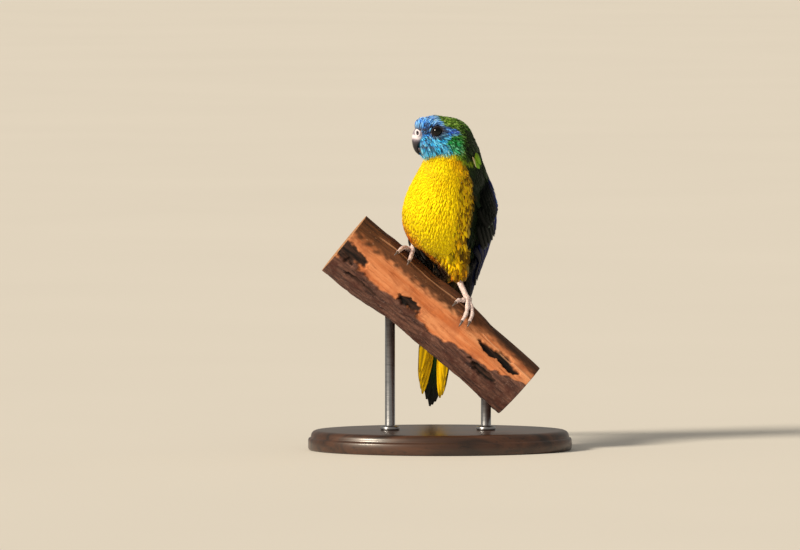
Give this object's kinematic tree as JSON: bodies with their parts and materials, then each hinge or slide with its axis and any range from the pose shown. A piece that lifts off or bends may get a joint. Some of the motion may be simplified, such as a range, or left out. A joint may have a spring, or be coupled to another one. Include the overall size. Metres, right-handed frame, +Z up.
{
  "type": "perched turquoise parrot",
  "caption": "Life-size still model of a turquoise parrot gripping a cut length of branch that slopes down to the right, held up by a plain display stand.",
  "frame": {"origin": "middle of the flat underside of the stand's oval base", "axes": "+X to the viewer's right, where the branch slopes down; +Y away from the viewer, where the tail hangs; +Z up"},
  "size_m": [0.132, 0.1434, 0.1678],
  "materials": {
    "plumage_head": "turquoise-blue face feathers that turn green over the crown and nape, soft satin",
    "plumage_body": "bright yellow breast and belly feathers with an orange wash low down, green on the back",
    "plumage_wing": "green, turquoise and dark blue wing feathers with dark flight feathers",
    "plumage_tail": "green and black middle tail feathers with yellow outer ones",
    "eye_brown": "dark brown, wet and very glossy, opaque",
    "bill_grey": "grey horn, paler at the cere, satin",
    "leg_skin": "pale pinkish-grey scaly skin, matt",
    "claw_horn": "dark grey-brown horn, satin",
    "bark": "purple-brown scaly bark with a band of smooth orange-brown peeled wood",
    "base_wood": "dark stained wood with a satin varnish",
    "rod_steel": "plain brushed steel rod"
  },
  "bodies": {
    "root": {"bill_lower": "bill_grey", "bill_upper": "bill_grey", "claw_left_1": "claw_horn", "claw_left_2": "claw_horn", "claw_left_3": "claw_horn", "claw_left_4": "claw_horn", "claw_right_1": "claw_horn", "claw_right_2": "claw_horn", "claw_right_3": "claw_horn", "claw_right_4": "claw_horn", "eye_left": "eye_brown", "eye_right": "eye_brown", "foot_left": "leg_skin", "foot_right": "leg_skin", "head": "plumage_head", "leg_left": "leg_skin", "leg_right": "leg_skin", "neck": "plumage_body", "perch_branch": "bark", "stand_base": "base_wood", "stand_rod_left": "rod_steel", "stand_rod_right": "rod_steel", "tail": "plumage_tail", "torso": "plumage_body", "wing_left": "plumage_wing", "wing_right": "plumage_wing"}
  },
  "joints": []
}
